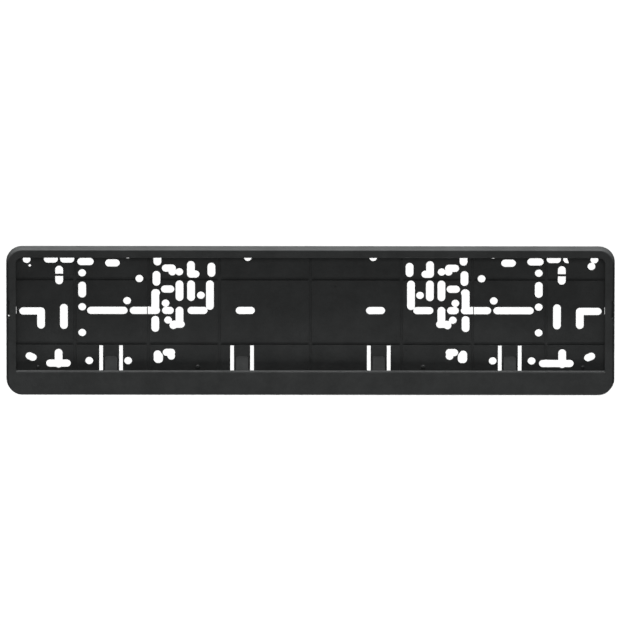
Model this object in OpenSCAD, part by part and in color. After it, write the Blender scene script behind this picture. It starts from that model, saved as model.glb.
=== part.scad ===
// Number plate holder for a car, moulded in one piece.
// Drawn lying flat: x runs across, y runs up, and depth is measured forward from the back plane.
// The finished part is then stood upright with its face towards -Y and its back plane at Y = 0.

/* [Number plate] */
// Width of the number plate that it holds
plate_w = 520; // [518:0.5:524]
// Height of the number plate
plate_h = 112; // [110:0.5:113]

/* [Frame] */
// Distance from the plate's edge to the outside, at the sides and the top
rim = 6; // [5.5:0.25:8]
// Distance from the plate's lower edge to the bottom of the holder
bar_drop = 14.5; // [12:0.5:20]
// How far the lips at the sides and the top reach over the plate
lip_over = 2.75; // [1.5:0.25:4]
// How far the wide bottom bar reaches over the plate
bar_over = 8.5; // [6:0.25:9.5]
// Depth from the back plane to the face of the frame
holder_d = 10; // [9:0.5:13]
// Radius of the four outer corners
corner_r = 14; // [12:0.5:18]
// Lean of the outer walls towards the middle, in degrees
draft = 8.4; // [6:0.2:14]
// Thickness of the outer walls
wall_t = 2.4; // [2:0.1:2.6]
// Thickness of the lips and of the face of the bar
lip_t = 2.4; // [2.2:0.1:3]
// Rounding where the outer walls turn into the face
crown_r = 1.1; // [0.8:0.1:2]
// Rounding at the inner edge of the lips
lip_r = 1.1; // [0.5:0.1:1.2]
// Rounding at the upper edge of the bar
bar_r = 2.1; // [1:0.1:2.1]

/* [Back panel] */
// Thickness of the back panel
panel_t = 2; // [1.6:0.1:2.6]
// Width of the shallow grooves in the panel's front
groove_w = 2.8; // [2:0.1:3.4]
// Depth of the grooves
groove_d = 0.9; // [0.5:0.1:1]

/* [Screw holes] */
// Width of the slots and diameter of the round screw holes
slot_w = 6.8; // [6.2:0.1:6.9]
// Thickness of the web across the upper upright slot
web_t = 1.7; // [0.8:0.1:2.2]

/* [Spring tongues] */
// Distance of the inner tongues from the middle
tongue_in = 59.8; // [58:0.2:62]
// Distance of the outer tongues from the middle
tongue_out = 174.4; // [172:0.2:176]
// Width of a tongue
tongue_w = 14.2; // [12:0.2:15]
// Width of the slots beside a tongue
tongue_gap = 3.2; // [2.4:0.1:3.4]
// Width of the ramp on a tongue
pad_w = 10.8; // [8:0.2:11.6]
// Rise of the ramp above the panel
pad_rise = 5; // [2:0.1:5.2]

/* [Hidden] */
$fn = 48;

holder_w = plate_w + 2 * rim;
holder_h = plate_h + rim + bar_drop;
half_w = holder_w / 2;
half_h = holder_h / 2;
rail_w = rim + lip_over;
lip_back = holder_d - lip_t;
// The part's own colour
black = [0.045, 0.045, 0.05];

// Places that follow from the plate
seat_top = half_h - rim;
seat_floor = -half_h + bar_drop;
bar_top = seat_floor + bar_over;

// Where the outer wall, leaning inwards, would meet the face, and where its rounding ends
crown_u = holder_d * tan(draft);
crown_run = crown_r / tan(45 + draft / 2);
// Inner face of the outer wall at the back plane
wall_in = wall_t / cos(draft);
// Ends of ribs and cross walls, buried in the outer wall
buried = wall_in - 0.25;
// Depth at which they end, inside the lips
rib_d = lip_back + 0.8;
// Cutters run past both faces of the panel
past = 1;

// Hole near the upper corner: full size on the right, a small dot on the left
corner_hole_at = [245.6, 48.5];
corner_dot_at = [245.4, 49];
corner_dot_d = 2.4;
// That hole keeps this distance from the plate's edge, and all places across spread with it
edge_gap = 14.4;
spread = (plate_w / 2 - edge_gap) / corner_hole_at[0];

// Spacing of the ribs and of the pads at the back edge
rib_step = 50;
rib_pitch = rib_step * spread;
rib_t = 1.6;
edge_pad_w = 12;
edge_pad_d = 1;
floor_t = 2;
// Heights of the ribs that centre the plate sideways, above and below the middle
side_rib_up = 30;

// Grooves: heights of the level ones, places across of the upright ones
level_grooves = [37.3, -20.4];
upright_grooves = [0, 79.6, 141.7, 206];
// How much narrower a groove is at its bottom, on each side
groove_lean = 0.12;

// Tongues: top of the slots, free end, and the length of the ramp
tongue_top = -22.2;
tongue_end = -47.4;
pad_top = -31.8;
pad_crest = -43.8;
pad_step = 0.3;
pad_corner = 2.2;
// The slots run on past the free end, out of sight below the bar
free_gap = 2.8;

// Height of the long row of level slots
row_up = 8.9;

// Screw holes of the right half; the left half mirrors them.
// Round holes: across, up. Two of them flank the outer tongue.
round_holes = [
    [199.6, 42.4], [199.6, 12.1], [199.6, -10.9],
    [tongue_out + 19.1, -36.0], [tongue_out - 14.9, -36.0],
    [160.3, 17.6], [149.6, 37.4],
    [95.8, 22.5], [126.7, 15.4], [124.5, 0.3], [119.9, -4.5],
    [120.7, 43.4], [114.7, 43.4], [135.0, 24.7],
    [121.8, -31.9], [248.1, 54.4], [54.8, 56.4],
    [159.7, 58.7]
];
// Upright slots: across, lower end, upper end
upright_slots = [
    [199.6, 20.2, 34.7], [215.6, -7.9, 14.8], [235.6, -7.6, 11.7],
    [133.8, 48.9, 60.0], [134.6, 30.8, 44.3], [135.7, 6.9, 28.1], [135.7, -10.4, 4.2],
    [114.5, 17.2, 35.9], [104.4, 17.2, 35.9], [87.9, 9.3, 35.9],
    [104.5, 38.0, 53.2], [86.6, 38.8, 51.7], [114.5, -6.8, 12.4],
    [133.7, -38.2, -26.7], [132.4, -38.2, -28.4], [220.3, -42.5, -25.4]
];
// Level slots: inner end, outer end, up
level_slots = [
    [48.6, 65.3, row_up], [159.9, 195.3, row_up], [131.5, 158.0, row_up], [232.2, 254.6, 8.3],
    [89.9, 107.5, row_up], [119.5, 129.8, row_up],
    [119.0, 130.7, 28.0], [117.6, 129.9, 46.7], [97.0, 107.9, 41.4],
    [109.9, 123.0, -3.4], [118.3, 129.2, -28.6],
    [166.7, 179.5, 51.3], [189.5, 203.8, 52.5], [206.5, 218.9, 54.7]
];
// Slot beside the upper corner: whole on the left, cut off slantwise on the right
corner_slot = [220.8, 233.0, 54.7];
cut_at = [226, 51];
cut_tilt = 19;
// Foot of the upside-down T: longer on the right
t_foot_up = -38.3;
t_foot_left = [209.7, 231.2];
t_foot_right = [200.0, 230.3];
// The webbed upright slot: across, lower end, upper end, height of its web
webbed_slot = [219.7, 32.0, 48.9, 40.6];
// The tilted slot at the lower corner: centre of its inner end, run and tilt
tilted_at = [242.9, -33.1];
tilted_run = 3.1;
tilt = 24;
// The thin strip that bridges the level slot next to the cluster
strip_at = 142.6;
strip_w = 0.7;

// Openings at the ends of the long row, almost hidden behind the side lips
window_w = 4.8;
window_shows = 0.12;

// Small marks: nubs above the bar, the moulding gate's dimple and the pits beside it.
// Nubs: place across and diameter
nubs = [[98.5, 4.6], [238.3, 3.4]];
nub_up = -41.4;
gate_at = [21.7, 30.9];
pits = [[75.2, -17.6], [83.9, -17.6], [83.7, -26.6]];

// Recess in the outer edge of each side rail
recess_low = 4;
recess_high = 19.5;
recess_in = 2.9;
// Pinhole at its lower end, on the left only
pinhole_in = 2.5;
pinhole_d = 2.2;

// Rectangle with rounded corners
module rounded_rect(w, h, r) {
    square([w - 2 * r, h], center = true);
    square([w, h - 2 * r], center = true);
    for (x = [-w / 2 + r, w / 2 - r], y = [-h / 2 + r, h / 2 - r])
        translate([x, y]) circle(r = r);
}

// Quarter disc: rounds the corner that points towards -x and +y
module quarter(r) {
    intersection() {
        circle(r = r);
        translate([-r - 1, 0]) square([r + 1, r + 1]);
    }
}

// Section of the frame: u runs inwards from the outside, then depth.
// A leaning outer wall turns into a flat lip with a rounded inner edge.
module rail_section() {
    polygon([
        [0, 0],
        [crown_u - crown_run * sin(draft), holder_d - crown_run * cos(draft)],
        [crown_u + crown_run, holder_d],
        [rail_w - lip_r, holder_d],
        [rail_w, holder_d - lip_r],
        [rail_w, lip_back],
        [wall_in + lip_back * tan(draft), lip_back],
        [wall_in, 0]
    ]);
    translate([crown_u + crown_run, holder_d - crown_r]) quarter(crown_r);
    translate([rail_w - lip_r, holder_d - lip_r]) mirror([1, 0]) quarter(lip_r);
}

// One straight stretch of the frame, on the left side
module straight_rail(length, reach) {
    translate([-reach, length / 2, 0]) rotate([90, 0, 0])
        linear_extrude(height = length) rail_section();
}

// The frame's section carried round the outline
module frame() {
    for (a = [0, 180]) rotate([0, 0, a]) straight_rail(holder_h - 2 * corner_r, half_w);
    for (a = [90, 270]) rotate([0, 0, a]) straight_rail(holder_w - 2 * corner_r, half_h);
    for (mx = [0, 1], my = [0, 1])
        mirror([mx, 0, 0]) mirror([0, my, 0])
            translate([half_w - corner_r, half_h - corner_r, 0])
                rotate_extrude(angle = 90, $fn = 96)
                    translate([corner_r, 0]) mirror([1, 0]) rail_section();
}

// Flat back panel, down to the floor on which the plate stands
module panel() {
    linear_extrude(height = panel_t) difference() {
        rounded_rect(holder_w - 2, holder_h - 2, corner_r - 1);
        translate([-half_w, -half_h]) square([holder_w, bar_drop - floor_t]);
    }
}

// Face of the bottom bar, with its rounded upper edge
module bar_face() {
    low = -half_h + rail_w - 2;
    span = holder_w - 2 * rail_w + 4;
    translate([span / 2, 0, 0]) rotate([90, 0, -90]) linear_extrude(height = span) {
        polygon([
            [-low, lip_back],
            [-bar_top, lip_back],
            [-bar_top, holder_d - bar_r],
            [-bar_top + bar_r, holder_d],
            [-low, holder_d]
        ]);
        translate([-bar_top + bar_r, holder_d - bar_r]) quarter(bar_r);
    }
}

// Floor of the plate's channel, which closes the hollow of the bar above
module channel_floor() {
    reach = half_w - buried;
    translate([-reach, seat_floor - floor_t, 0]) cube([2 * reach, floor_t, rib_d]);
}

// Cross ribs in the hollow behind the bar
module bar_ribs() {
    low = -half_h + buried;
    for (x = [-4.5 * rib_pitch : rib_pitch : 4.5 * rib_pitch])
        translate([x - rib_t / 2, low, 1]) cube([rib_t, seat_floor - 1 - low, rib_d - 1]);
}

// Short ribs behind the lips, which centre the plate
module seat_ribs() {
    tall = half_h - buried - seat_top;
    wide = rim - buried;
    for (x = [-4.5 * rib_pitch : rib_pitch : 4.5 * rib_pitch])
        translate([x - rib_t / 2, seat_top, 1]) cube([rib_t, tall, rib_d - 1]);
    for (m = [0, 1], y = [-side_rib_up, side_rib_up]) mirror([m, 0, 0])
        translate([plate_w / 2, y - rib_t / 2, 1]) cube([wide, rib_t, rib_d - 1]);
}

// A listed place, moved across as the plate's width asks
function placed(p) = [p[0] * spread, p[1]];

// Slot along x with round ends; it starts at the first end's centre.
// A turned slot has its sides a hair inside the ends, so that they cross cleanly.
module slot(run, side = slot_w) {
    circle(d = slot_w);
    translate([run, 0]) circle(d = slot_w);
    translate([0, -side / 2]) square([run, side]);
}

module upright_slot(s) {
    translate(placed([s[0], s[1] + slot_w / 2])) rotate(90) slot(s[2] - s[1] - slot_w);
}

module level_slot(s) {
    translate([s[0] * spread + slot_w / 2, s[2]]) slot((s[1] - s[0]) * spread - slot_w);
}

// Cuts a flat shape right through the panel
module through() {
    translate([0, 0, -past]) linear_extrude(height = panel_t + 2 * past) children();
}

// Screw holes that both halves have
module half_pattern() {
    for (c = round_holes) through() translate(placed(c)) circle(d = slot_w);
    for (s = upright_slots) through() upright_slot(s);
    for (s = level_slots) through() level_slot(s);
    through() translate([half_w - rail_w - window_shows, row_up - slot_w / 2])
        square([window_w, slot_w]);
    through() translate(placed(tilted_at)) rotate(tilt) slot(tilted_run, slot_w - 0.02);
    through() difference() {
        upright_slot(webbed_slot);
        translate([webbed_slot[0] * spread - slot_w, webbed_slot[3] - web_t / 2])
            square([2 * slot_w, web_t]);
    }
}

// Screw holes that only the left half has, drawn on the right and mirrored
module left_extras() {
    through() level_slot(corner_slot);
    through() level_slot([t_foot_left[0], t_foot_left[1], t_foot_up]);
    through() translate(placed(corner_dot_at)) circle(d = corner_dot_d);
}

// Screw holes that only the right half has
module right_extras() {
    through() difference() {
        level_slot(corner_slot);
        translate(placed(cut_at)) rotate(cut_tilt) translate([0, -slot_w]) square(3 * slot_w);
    }
    through() level_slot([t_foot_right[0], t_foot_right[1], t_foot_up]);
    through() translate(placed(corner_hole_at)) circle(d = slot_w);
}

module screw_holes() {
    half_pattern();
    mirror([1, 0, 0]) half_pattern();
    mirror([1, 0, 0]) left_extras();
    right_extras();
}

// Section of a groove, open at the panel's front
module groove_section() {
    foot = groove_w / 2 - groove_lean;
    polygon([
        [-foot, panel_t - groove_d],
        [foot, panel_t - groove_d],
        [groove_w / 2, panel_t],
        [groove_w / 2, panel_t + 0.5],
        [-groove_w / 2, panel_t + 0.5],
        [-groove_w / 2, panel_t]
    ]);
}

module grooves() {
    tall = seat_top - seat_floor;
    for (x = upright_grooves, m = [0, 1]) mirror([m, 0, 0])
        translate([x * spread, seat_top, 0]) rotate([90, 0, 0])
            linear_extrude(height = tall) groove_section();
    for (y = level_grooves)
        translate([-plate_w / 2, y, 0]) rotate([90, 0, 90])
            linear_extrude(height = plate_w) groove_section();
}

// Slots on three sides of a tongue
module tongue_slots() {
    far = tongue_w / 2 + tongue_gap;
    low = tongue_end - free_gap;
    for (m = [0, 1]) mirror([m, 0, 0])
        through() translate([tongue_w / 2, low]) square([tongue_gap, tongue_top - low]);
    through() translate([-far + 1, low]) square([2 * far - 2, tongue_end - low]);
}

// Steep ramp on the tongue: the plate bends it back, and it presses the plate against the bar
module pad() {
    base = panel_t - 0.8;
    intersection() {
        translate([pad_w / 2, 0, 0]) rotate([90, 0, -90]) linear_extrude(height = pad_w) polygon([
            [-pad_top, base],
            [-pad_top, panel_t + pad_step],
            [-pad_crest, panel_t + pad_rise],
            [-tongue_end, panel_t + pad_rise],
            [-tongue_end, base]
        ]);
        linear_extrude(height = holder_d) {
            translate([-pad_w / 2, tongue_end - 1])
                square([pad_w, pad_top - tongue_end + 1 - pad_corner]);
            translate([-pad_w / 2 + pad_corner, tongue_end - 1])
                square([pad_w - 2 * pad_corner, pad_top - tongue_end + 1]);
            for (x = [-1, 1])
                translate([x * (pad_w / 2 - pad_corner), pad_top - pad_corner]) circle(r = pad_corner);
        }
    }
}

// Places a shape at each of the four tongues
module at_tongues() {
    for (x = [-tongue_out, -tongue_in, tongue_in, tongue_out])
        translate([x * spread, 0, 0]) children();
}

// Pads without lean at the back edge of the top and bottom walls
module edge_pads() {
    for (x = [-4 * rib_pitch : rib_pitch : 4 * rib_pitch], m = [0, 1]) mirror([0, m, 0])
        translate([x - edge_pad_w / 2, half_h - wall_t / 2, 0])
            cube([edge_pad_w, wall_t / 2, edge_pad_d]);
}

// Recess in the outer edge of a side rail; on the left its lower end is pierced
module side_recesses() {
    tall = recess_high - recess_low;
    for (m = [0, 1]) mirror([m, 0, 0])
        translate([half_w - recess_in, recess_low, holder_d / 2])
            cube([recess_in + past, tall, holder_d]);
    translate([-half_w + pinhole_in, recess_low + 0.4, -past])
        cylinder(d = pinhole_d, h = holder_d + 2 * past, $fn = 24);
}

// Dimples left by the moulding gate and the ejectors
module marks() {
    translate([gate_at[0] * spread, gate_at[1], panel_t - 0.4]) cylinder(d = 2.6, h = 1, $fn = 32);
    for (p = pits)
        translate([p[0] * spread, p[1], panel_t - 0.3]) cylinder(d = 1.6, h = 1, $fn = 24);
}

// Thin strips across the level slots, set at the back
module strips() {
    for (m = [0, 1]) mirror([m, 0, 0])
        translate([strip_at * spread - strip_w / 2, row_up - slot_w / 2 - 0.5, 0])
            cube([strip_w, slot_w + 1, 1.2]);
}

module nub_row() {
    for (n = nubs, m = [0, 1]) mirror([m, 0, 0])
        translate([n[0] * spread, nub_up, panel_t - 0.5])
            cylinder(h = 1.6, d1 = n[1], d2 = n[1] / 2, $fn = 32);
}

module plate_holder() {
    color(black) rotate([90, 0, 0]) {
        difference() {
            union() {
                frame();
                panel();
                bar_face();
                channel_floor();
                bar_ribs();
                seat_ribs();
                edge_pads();
            }
            screw_holes();
            grooves();
            at_tongues() tongue_slots();
            side_recesses();
            marks();
        }
        at_tongues() pad();
        strips();
        nub_row();
    }
}

plate_holder();
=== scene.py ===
"""Number plate holder: the finish of the moulding, the floor, the light and the camera."""
from math import cos, radians, sin

import bpy
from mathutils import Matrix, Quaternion, Vector


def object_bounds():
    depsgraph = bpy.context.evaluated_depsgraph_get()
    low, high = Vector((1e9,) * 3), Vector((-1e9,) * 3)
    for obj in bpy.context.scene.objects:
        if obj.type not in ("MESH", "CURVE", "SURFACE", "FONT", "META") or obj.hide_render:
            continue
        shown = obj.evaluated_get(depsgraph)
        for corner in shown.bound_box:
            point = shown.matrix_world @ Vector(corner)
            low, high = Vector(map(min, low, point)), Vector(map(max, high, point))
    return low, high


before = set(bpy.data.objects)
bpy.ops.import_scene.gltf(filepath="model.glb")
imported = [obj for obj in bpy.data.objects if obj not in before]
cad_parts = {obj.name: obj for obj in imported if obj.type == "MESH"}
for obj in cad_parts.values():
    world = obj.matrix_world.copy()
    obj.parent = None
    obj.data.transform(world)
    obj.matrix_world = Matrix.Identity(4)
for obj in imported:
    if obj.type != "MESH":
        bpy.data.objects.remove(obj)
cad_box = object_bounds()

# Lengths are in metres and angles in degrees

# The photograph's view of the holder
VIEW_AZIMUTH = 0.0
VIEW_ELEVATION = 12.0
VIEW_ROLL = 0.05
VIEW_DISTANCE = 16.0
# Width of the field that the square picture spans at the holder
FIELD_WIDTH = 0.5466
# Point of the back plane that lies at the middle of the picture
AIM = Vector((0.0018, 0.0, 0.0069))
# Width of the camera's sensor, in millimetres
SENSOR = 36.0
# Nothing beyond this distance is shown
CLIP_END = 200.0

# Base colours of the plastic: its darkest and lightest tones, and its rubbed edges
DARK_TONE = (0.0218, 0.0229, 0.0229)
LIGHT_TONE = (0.0312, 0.0327, 0.0327)
RUBBED_TONE = (0.055, 0.056, 0.056)
# Noise scales of the plastic, in features a metre
CLOUD_SCALE = 34.0
WEAR_SCALE = 90.0
ORANGE_PEEL_SCALE = 260.0
GRAIN_SCALE = 2200.0
# The flow streaks have a lower scale along the holder, so they run lengthwise
STREAK_SCALE = (14.0, 60.0, 60.0)
# Noise values between which the clouds and the wear change, and those for the streaks
NOISE_BAND = (0.35, 0.65)
STREAK_BAND = (0.3, 0.7)
# Roughness of the plastic, from the glossiest streak to the dullest
STREAK_ROUGHNESS = (0.60, 0.72)
# Depths of the bump layers
ORANGE_PEEL_DEPTH = 0.0006
GRAIN_DEPTH = 0.00025
# How far a rubbed strip reaches from its edge
EDGE_RADIUS = 0.0006
# Cosine of the turn from a face to its rounded edge: where wear starts, and where it is full
EDGE_BAND = (0.98, 0.75)
# Share of the rubbed tone where wear is full, and the part of it that the noise leaves
FULL_WEAR = 0.5
WEAR_LEFT = (0.1, 1.0)

# How far the floor and the reflectors lie below the holder
FLOOR_DROP = 0.48
REFLECTOR_DROP = 0.29
# Side of the square floor, its two tones and the noise scale between them
FLOOR_SIZE = 60.0
FLOOR_DARK = (0.290, 0.290, 0.290)
FLOOR_LIGHT = (0.300, 0.300, 0.300)
FLOOR_SCALE = 0.8

# Far soft boxes: name, tilt forward from overhead, spread and strength
FAR_BOXES = (
    ("overhead_front", 6.0, 8.0, 5.8),
    ("overhead_back", -4.0, 6.0, 4.8),
    ("fill_front", 62.0, 24.0, 0.75),
    ("fill_back", -80.0, 30.0, 0.4),
)
# A far box gives the same light from any place
FAR_BOX_PLACE = (0.0, 0.0, 2.0)
# Reflectors below the holder: place along Y, and power in watts
REFLECTORS = ((-0.24, 2.4), (0.24, 3.6))
REFLECTOR_WIDTH = 1.0
REFLECTOR_LENGTH = 0.3
# Brightness of the surround: as light on the holder, and as the camera sees it
SURROUND_LIGHT = 0.04
SURROUND_SEEN = 1.05


def new_material(name):
    """A material, its tree and the tree's one shader, which is linked to the output."""
    material = bpy.data.materials.new(name)
    material.use_nodes = True
    tree = material.node_tree
    tree.nodes.clear()
    output = tree.nodes.new("ShaderNodeOutputMaterial")
    shader = tree.nodes.new("ShaderNodeBsdfPrincipled")
    tree.links.new(shader.outputs["BSDF"], output.inputs["Surface"])
    return material, tree, shader


def add_noise(tree, where, scale, detail=3.0, roughness=0.5):
    """A noise texture over the given coordinates."""
    noise = tree.nodes.new("ShaderNodeTexNoise")
    noise.inputs["Scale"].default_value = scale
    noise.inputs["Detail"].default_value = detail
    noise.inputs["Roughness"].default_value = roughness
    tree.links.new(where, noise.inputs["Vector"])
    return noise.outputs["Fac"]


def add_range(tree, value, source, target):
    """Maps a value from a source range to a target range."""
    node = tree.nodes.new("ShaderNodeMapRange")
    sockets = ("From Min", "From Max", "To Min", "To Max")
    for socket, number in zip(sockets, (*source, *target)):
        node.inputs[socket].default_value = number
    tree.links.new(value, node.inputs["Value"])
    return node.outputs["Result"]


def add_mix(tree, first, second, factor):
    """Mixes a first colour, which is a tone or another mix, with a second tone."""
    node = tree.nodes.new("ShaderNodeMix")
    node.data_type = "RGBA"
    if isinstance(first, bpy.types.NodeSocket):
        tree.links.new(first, node.inputs["A"])
    else:
        node.inputs["A"].default_value = (*first, 1.0)
    node.inputs["B"].default_value = (*second, 1.0)
    tree.links.new(factor, node.inputs["Factor"])
    return node.outputs["Result"]


def add_bump(tree, height, strength, distance, below=None):
    """A bump layer; a layer below it is kept."""
    bump = tree.nodes.new("ShaderNodeBump")
    bump.inputs["Strength"].default_value = strength
    bump.inputs["Distance"].default_value = distance
    tree.links.new(height, bump.inputs["Height"])
    if below is not None:
        tree.links.new(below, bump.inputs["Normal"])
    return bump.outputs["Normal"]


def edge_wear(tree, place):
    """The wear of the edges, broken up by noise; it is 0 on the flats."""
    rounded = tree.nodes.new("ShaderNodeBevel")
    rounded.samples = 4
    rounded.inputs["Radius"].default_value = EDGE_RADIUS
    flat = tree.nodes.new("ShaderNodeNewGeometry")
    turn = tree.nodes.new("ShaderNodeVectorMath")
    turn.operation = "DOT_PRODUCT"
    tree.links.new(rounded.outputs["Normal"], turn.inputs[0])
    tree.links.new(flat.outputs["True Normal"], turn.inputs[1])
    edge = add_range(tree, turn.outputs["Value"], EDGE_BAND, (0.0, FULL_WEAR))
    patches = add_range(tree, add_noise(tree, place, WEAR_SCALE), NOISE_BAND, WEAR_LEFT)
    wear = tree.nodes.new("ShaderNodeMath")
    wear.operation = "MULTIPLY"
    tree.links.new(edge, wear.inputs[0])
    tree.links.new(patches, wear.inputs[1])
    return wear.outputs["Value"]


def black_plastic():
    """Moulded black polypropylene: a fine satin grain, faint flow streaks and rubbed edges."""
    material, tree, shader = new_material("black_plastic")
    place = tree.nodes.new("ShaderNodeTexCoord").outputs["Object"]

    # Cloudy tone, lighter where the edges are rubbed
    cloud = add_noise(tree, place, CLOUD_SCALE, detail=6.0, roughness=0.75)
    tone = add_mix(tree, DARK_TONE, LIGHT_TONE, add_range(tree, cloud, NOISE_BAND, (0.0, 1.0)))
    worn = add_mix(tree, tone, RUBBED_TONE, edge_wear(tree, place))
    tree.links.new(worn, shader.inputs["Base Color"])

    # Flow streaks in the gloss
    streak_space = tree.nodes.new("ShaderNodeMapping")
    streak_space.inputs["Scale"].default_value = STREAK_SCALE
    tree.links.new(place, streak_space.inputs["Vector"])
    streaks = add_noise(tree, streak_space.outputs["Vector"], scale=1.0, detail=5.0, roughness=0.6)
    tree.links.new(add_range(tree, streaks, STREAK_BAND, STREAK_ROUGHNESS), shader.inputs["Roughness"])

    # Fine grain over a faint waviness
    orange_peel = add_noise(tree, place, ORANGE_PEEL_SCALE, detail=2.0)
    ripple = add_bump(tree, orange_peel, strength=0.25, distance=ORANGE_PEEL_DEPTH)
    grain = add_noise(tree, place, GRAIN_SCALE, detail=2.0)
    relief = add_bump(tree, grain, strength=0.5, distance=GRAIN_DEPTH, below=ripple)
    tree.links.new(relief, shader.inputs["Normal"])

    shader.inputs["IOR"].default_value = 1.49
    shader.inputs["Specular IOR Level"].default_value = 0.20
    return material


def floor_material():
    """Plain pale studio floor."""
    material, tree, shader = new_material("studio_floor")
    place = tree.nodes.new("ShaderNodeTexCoord").outputs["Object"]
    tone = add_mix(tree, FLOOR_DARK, FLOOR_LIGHT, add_noise(tree, place, FLOOR_SCALE))
    tree.links.new(tone, shader.inputs["Base Color"])
    shader.inputs["Roughness"].default_value = 0.9
    shader.inputs["Specular IOR Level"].default_value = 0.1
    return material


def dress_holder():
    """Gives the moulding its finish."""
    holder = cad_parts["plate_holder"]
    holder.data.materials.clear()
    holder.data.materials.append(black_plastic())


def make_floor():
    """A wide floor below the holder."""
    low = cad_box[0][2] - FLOOR_DROP
    half = FLOOR_SIZE / 2
    corners = [(-half, -half, low), (half, -half, low), (half, half, low), (-half, half, low)]
    mesh = bpy.data.meshes.new("floor")
    mesh.from_pydata(corners, [], [(0, 1, 2, 3)])
    floor = bpy.data.objects.new("floor", mesh)
    bpy.context.scene.collection.objects.link(floor)
    mesh.materials.append(floor_material())
    # The reflectors light the holder from below, so the floor itself doesn't
    floor.visible_diffuse = False
    floor.visible_glossy = False


def add_light(name, kind, place, turn, energy):
    """A lamp that shines straight down, turned about X by an angle."""
    lamp = bpy.data.lights.new(name, kind)
    lamp.energy = energy
    light = bpy.data.objects.new(name, lamp)
    light.location = place
    light.rotation_euler = (radians(turn), 0.0, 0.0)
    bpy.context.scene.collection.objects.link(light)
    return lamp


def add_far_box(name, tilt, spread, strength):
    """A soft box far off: its rays are parallel, but for the spread."""
    box = add_light(name, "SUN", FAR_BOX_PLACE, turn=tilt, energy=strength)
    box.angle = radians(spread)


def add_reflector(place, power):
    """A white sheet that sends light up."""
    sheet = add_light("reflector", "AREA", place, turn=180.0, energy=power)
    sheet.shape = "RECTANGLE"
    sheet.size = REFLECTOR_WIDTH
    sheet.size_y = REFLECTOR_LENGTH


def light_world():
    """A dim surround that the camera sees as white."""
    world = bpy.data.worlds.new("studio")
    world.use_nodes = True
    tree = world.node_tree
    background = tree.nodes["Background"]
    background.inputs["Color"].default_value = (1.0, 1.0, 1.0, 1.0)
    seen = tree.nodes.new("ShaderNodeLightPath").outputs["Is Camera Ray"]
    strength = add_range(tree, seen, (0.0, 1.0), (SURROUND_LIGHT, SURROUND_SEEN))
    tree.links.new(strength, background.inputs["Strength"])
    bpy.context.scene.world = world


def light_studio():
    """Two soft boxes overhead, a fill before and behind, and two reflectors below."""
    light_world()
    for box in FAR_BOXES:
        add_far_box(*box)
    low = cad_box[0][2] - REFLECTOR_DROP
    for across, power in REFLECTORS:
        add_reflector((0.0, across, low), power)
    bpy.context.scene.view_settings.view_transform = "Standard"


def make_camera():
    """Long lens at the photograph's angle."""
    azimuth, elevation = radians(VIEW_AZIMUTH), radians(VIEW_ELEVATION)
    away = Vector((sin(azimuth) * cos(elevation), -cos(azimuth) * cos(elevation), sin(elevation)))
    data = bpy.data.cameras.new("camera")
    data.sensor_width = SENSOR
    data.lens = SENSOR * VIEW_DISTANCE / FIELD_WIDTH
    data.clip_end = CLIP_END
    camera = bpy.data.objects.new("camera", data)
    camera.location = AIM + VIEW_DISTANCE * away
    turn = (-away).to_track_quat("-Z", "Y") @ Quaternion((0.0, 0.0, 1.0), radians(VIEW_ROLL))
    camera.rotation_euler = turn.to_euler()
    bpy.context.scene.collection.objects.link(camera)
    bpy.context.scene.camera = camera


make_camera()
dress_holder()
make_floor()
light_studio()
